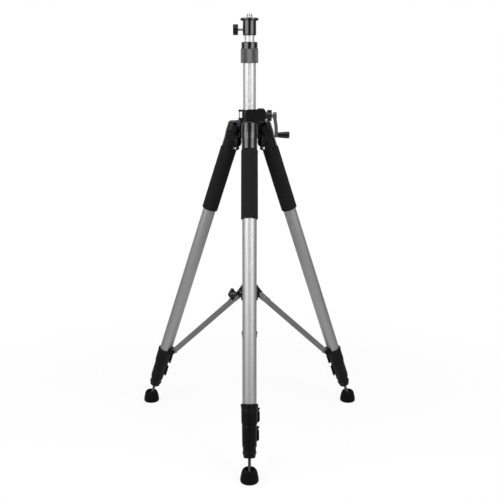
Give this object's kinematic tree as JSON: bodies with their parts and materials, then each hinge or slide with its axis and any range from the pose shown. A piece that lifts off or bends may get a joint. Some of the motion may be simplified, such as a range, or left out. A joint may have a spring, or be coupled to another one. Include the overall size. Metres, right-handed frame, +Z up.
{
  "type": "elevating tripod",
  "caption": "Elevating tripod with splayed telescopic legs, flip locks, a strutted spreader hub, a crank-driven centre column, a twist-locked extension and an instrument stud.",
  "frame": {"origin": "point on the floor straight below the centre column's axis", "axes": "+Z up along the centre column, -Y towards the front leg, +X towards the crank"},
  "size_m": [0.6396, 0.5599, 1.1162],
  "materials": {
    "cast_black": "die casting, black semi-gloss coat",
    "moulded_black": "moulded black, semi-gloss",
    "satin_tube": "satin anodised tube",
    "strut_grey": "grey anodised channel",
    "plated_steel": "zinc-plated steel",
    "foam_black": "closed-cell foam sleeve",
    "rubber_black": "matt black rubber",
    "rack_nylon": "grey moulded rack"
  },
  "bodies": {
    "spider": {"spider_body": "cast_black", "guide_tube": "satin_tube", "guide_end_cap": "moulded_black", "body_pins": "plated_steel"},
    "column": {"column_tube": "satin_tube", "column_rack": "rack_nylon", "column_bush": "moulded_black"},
    "twist_lock": {"twist_collar": "moulded_black", "twist_collar_band": "rubber_black"},
    "extension": {"extension_tube": "satin_tube", "extension_plug": "moulded_black"},
    "head": {"head_cup": "moulded_black", "instrument_stud": "plated_steel"},
    "head_clamp": {"head_knob": "moulded_black", "head_knob_screw": "plated_steel"},
    "crank": {"crank_shaft": "plated_steel", "crank_arm": "moulded_black"},
    "crank_handle": {"crank_grip": "moulded_black"},
    "lift_lock": {"lift_lock_knob": "moulded_black"},
    "spreader": {"spreader_hub": "moulded_black"},
    "spreader_clamp": {"hub_knob": "moulded_black"},
    "front_strut": {"front_strut": "strut_grey"},
    "front_leg": {"front_leg_top": "moulded_black", "front_leg_tube": "satin_tube", "front_leg_grip": "foam_black", "front_leg_collar": "moulded_black"},
    "front_upper_lock": {"front_upper_lever": "moulded_black"},
    "front_mid_section": {"front_mid_tube": "satin_tube", "front_mid_collar": "moulded_black"},
    "front_lower_lock": {"front_lower_lever": "moulded_black"},
    "front_low_section": {"front_low_tube": "satin_tube", "front_leg_end": "moulded_black", "front_foot_rod": "plated_steel"},
    "front_foot_pad": {"front_foot": "rubber_black"},
    "right_strut": {"right_strut": "strut_grey"},
    "right_leg": {"right_leg_top": "moulded_black", "right_leg_tube": "satin_tube", "right_leg_grip": "foam_black", "right_leg_collar": "moulded_black"},
    "right_upper_lock": {"right_upper_lever": "moulded_black"},
    "right_mid_section": {"right_mid_tube": "satin_tube", "right_mid_collar": "moulded_black"},
    "right_lower_lock": {"right_lower_lever": "moulded_black"},
    "right_low_section": {"right_low_tube": "satin_tube", "right_leg_end": "moulded_black", "right_foot_rod": "plated_steel"},
    "right_foot_pad": {"right_foot": "rubber_black"},
    "left_strut": {"left_strut": "strut_grey"},
    "left_leg": {"left_leg_top": "moulded_black", "left_leg_tube": "satin_tube", "left_leg_grip": "foam_black", "left_leg_collar": "moulded_black"},
    "left_upper_lock": {"left_upper_lever": "moulded_black"},
    "left_mid_section": {"left_mid_tube": "satin_tube", "left_mid_collar": "moulded_black"},
    "left_lower_lock": {"left_lower_lever": "moulded_black"},
    "left_low_section": {"left_low_tube": "satin_tube", "left_leg_end": "moulded_black", "left_foot_rod": "plated_steel"},
    "left_foot_pad": {"left_foot": "rubber_black"}
  },
  "joints": [
    {"name": "column_lift", "type": "slide", "parent": "spider", "child": "column", "axis": [0, 0, 1], "range_m": [-0.1135, 0.37]},
    {"name": "crank_turn", "type": "hinge", "parent": "spider", "child": "crank", "pos_m": [0, -0.0221, 0.86012], "axis": [1, 0, 0], "continuous": true},
    {"name": "crank_grip_spin", "type": "hinge", "parent": "crank", "child": "crank_handle", "pos_m": [0, -0.0221, 0.81012], "axis": [1, 0, 0], "continuous": true},
    {"name": "lift_lock_turn", "type": "hinge", "parent": "spider", "child": "lift_lock", "pos_m": [0, -0.0221, 0.86012], "axis": [1, 0, 0], "range_deg": [0, 180]},
    {"name": "twist_lock_turn", "type": "hinge", "parent": "column", "child": "twist_lock", "pos_m": [0, 0, 0.99362], "axis": [0, 0, 1], "range_deg": [0, 180]},
    {"name": "extension_slide", "type": "slide", "parent": "column", "child": "extension", "axis": [0, 0, 1], "range_m": [-0.016, 0.4]},
    {"name": "head_pan", "type": "hinge", "parent": "extension", "child": "head", "pos_m": [0, 0, 1.06262], "axis": [0, 0, 1], "continuous": true},
    {"name": "head_knob_turn", "type": "hinge", "parent": "head", "child": "head_clamp", "pos_m": [-0.03, 0, 1.07672], "axis": [-1, 0, 0], "range_deg": [0, 720]},
    {"name": "spreader_slide", "type": "slide", "parent": "spider", "child": "spreader", "axis": [0, 0, 1], "range_m": [0, 0.0642]},
    {"name": "spreader_knob_turn", "type": "hinge", "parent": "spreader", "child": "spreader_clamp", "pos_m": [-0.03551, -0.0205, 0.38359], "axis": [-0.866, -0.5, 0], "range_deg": [0, 720]},
    {"name": "front_leg_fold", "type": "hinge", "parent": "spider", "child": "front_leg", "pos_m": [0, -0.048, 0.81662], "axis": [1, 0, 0], "range_deg": [0, 17.5]},
    {"name": "front_strut_swing", "type": "hinge", "parent": "front_leg", "child": "front_strut", "pos_m": [0, -0.25905, 0.16964], "axis": [1, 0, 0], "range_deg": [0, 27.9]},
    {"name": "front_mid_slide", "type": "slide", "parent": "front_leg", "child": "front_mid_section", "axis": [0, -0.3476, -0.9376], "range_m": [0, 0.55]},
    {"name": "front_low_slide", "type": "slide", "parent": "front_mid_section", "child": "front_low_section", "axis": [0, -0.3476, -0.9376], "range_m": [0, 0.53]},
    {"name": "front_upper_lever_flip", "type": "hinge", "parent": "front_leg", "child": "front_upper_lock", "pos_m": [0.01546, -0.27687, 0.15918], "axis": [0.6691, -0.6968, 0.2583], "range_deg": [0, 75]},
    {"name": "front_lower_lever_flip", "type": "hinge", "parent": "front_mid_section", "child": "front_lower_lock", "pos_m": [0.01397, -0.29353, 0.11811], "axis": [0.6691, -0.6968, 0.2583], "range_deg": [0, 75]},
    {"name": "front_foot_tilt", "type": "hinge", "parent": "front_low_section", "child": "front_foot_pad", "pos_m": [0, -0.34331, 0.02], "axis": [1, 0, 0], "range_deg": [-22, 3]},
    {"name": "right_leg_fold", "type": "hinge", "parent": "spider", "child": "right_leg", "pos_m": [0.04157, 0.024, 0.81662], "axis": [-0.5, 0.866, 0], "range_deg": [0, 17.5]},
    {"name": "right_strut_swing", "type": "hinge", "parent": "right_leg", "child": "right_strut", "pos_m": [0.22434, 0.12952, 0.16964], "axis": [-0.5, 0.866, 0], "range_deg": [0, 27.9]},
    {"name": "right_mid_slide", "type": "slide", "parent": "right_leg", "child": "right_mid_section", "axis": [0.301, 0.1738, -0.9376], "range_m": [0, 0.55]},
    {"name": "right_low_slide", "type": "slide", "parent": "right_mid_section", "child": "right_low_section", "axis": [0.301, 0.1738, -0.9376], "range_m": [0, 0.53]},
    {"name": "right_upper_lever_flip", "type": "hinge", "parent": "right_leg", "child": "right_upper_lock", "pos_m": [0.23205, 0.15182, 0.15918], "axis": [0.2689, 0.9279, 0.2583], "range_deg": [0, 75]},
    {"name": "right_lower_lever_flip", "type": "hinge", "parent": "right_mid_section", "child": "right_lower_lock", "pos_m": [0.24721, 0.15886, 0.11811], "axis": [0.2689, 0.9279, 0.2583], "range_deg": [0, 75]},
    {"name": "right_foot_tilt", "type": "hinge", "parent": "right_low_section", "child": "right_foot_pad", "pos_m": [0.29732, 0.17166, 0.02], "axis": [-0.5, 0.866, 0], "range_deg": [-22, 3]},
    {"name": "left_leg_fold", "type": "hinge", "parent": "spider", "child": "left_leg", "pos_m": [-0.04157, 0.024, 0.81662], "axis": [-0.5, -0.866, 0], "range_deg": [0, 17.5]},
    {"name": "left_strut_swing", "type": "hinge", "parent": "left_leg", "child": "left_strut", "pos_m": [-0.22434, 0.12952, 0.16964], "axis": [-0.5, -0.866, 0], "range_deg": [0, 27.9]},
    {"name": "left_mid_slide", "type": "slide", "parent": "left_leg", "child": "left_mid_section", "axis": [-0.301, 0.1738, -0.9376], "range_m": [0, 0.55]},
    {"name": "left_low_slide", "type": "slide", "parent": "left_mid_section", "child": "left_low_section", "axis": [-0.301, 0.1738, -0.9376], "range_m": [0, 0.53]},
    {"name": "left_upper_lever_flip", "type": "hinge", "parent": "left_leg", "child": "left_upper_lock", "pos_m": [-0.23205, 0.15182, 0.15918], "axis": [0.2689, -0.9279, -0.2583], "range_deg": [0, 75]},
    {"name": "left_lower_lever_flip", "type": "hinge", "parent": "left_mid_section", "child": "left_lower_lock", "pos_m": [-0.24721, 0.15886, 0.11811], "axis": [0.2689, -0.9279, -0.2583], "range_deg": [0, 75]},
    {"name": "left_foot_tilt", "type": "hinge", "parent": "left_low_section", "child": "left_foot_pad", "pos_m": [-0.29732, 0.17166, 0.02], "axis": [-0.5, -0.866, 0], "range_deg": [-22, 3]}
  ],
  "couplings": [
    {"joint": "crank_turn", "follows": "column_lift", "rad_per_m": 142.86},
    {"joint": "front_strut_swing", "follows": "front_leg_fold", "ratio": 1.5893},
    {"joint": "right_leg_fold", "follows": "front_leg_fold", "ratio": 1},
    {"joint": "right_strut_swing", "follows": "front_leg_fold", "ratio": 1.5893},
    {"joint": "left_leg_fold", "follows": "front_leg_fold", "ratio": 1},
    {"joint": "left_strut_swing", "follows": "front_leg_fold", "ratio": 1.5893},
    {"joint": "spreader_slide", "follows": "front_leg_fold", "m_per_rad": 0.20974}
  ]
}
